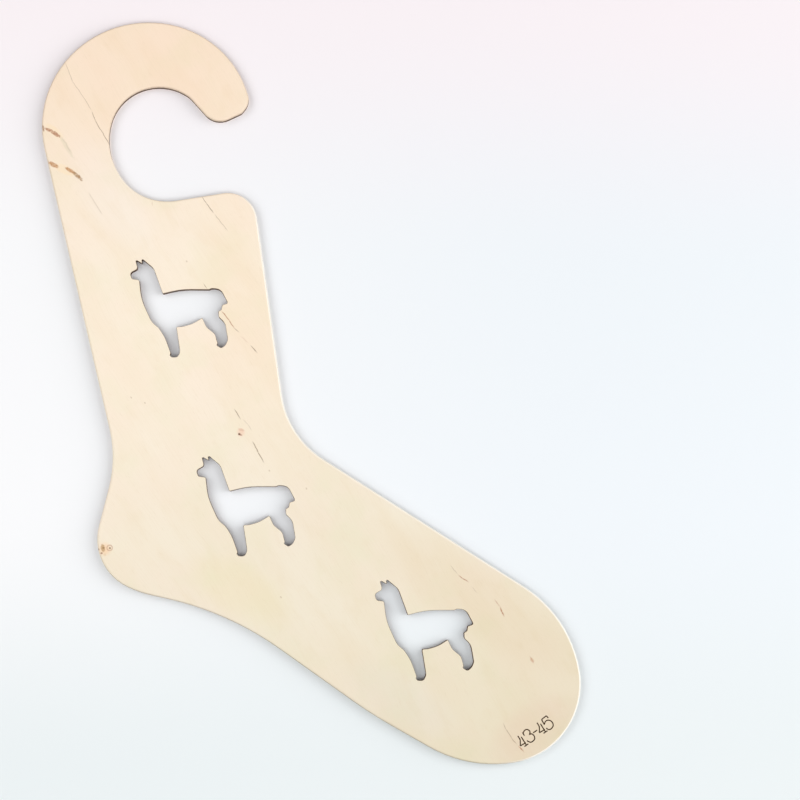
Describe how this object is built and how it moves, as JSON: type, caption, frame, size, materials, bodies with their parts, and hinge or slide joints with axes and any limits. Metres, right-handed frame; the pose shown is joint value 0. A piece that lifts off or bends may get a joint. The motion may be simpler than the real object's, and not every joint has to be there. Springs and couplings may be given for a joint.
{
  "type": "sock stretcher",
  "caption": "Flat sock-shaped plywood drying form with a hook at the cuff for hanging and animal-shaped cut-outs that let air through.",
  "frame": {"origin": "middle of the board's box, on the back face that it lies on", "axes": "+Z out of the front face, +Y up the leg towards the hook, +X towards the toe"},
  "size_m": [0.2914, 0.4014, 0.004],
  "materials": {
    "face_veneer": "sanded bare birch",
    "core_veneer": "laser-browned edge",
    "glue_line": "dark cured glue"
  },
  "bodies": {
    "root": {"back_veneer": "face_veneer", "back_glue_line": "glue_line", "core_veneer": "core_veneer", "front_glue_line": "glue_line", "front_veneer": "face_veneer"}
  },
  "joints": []
}
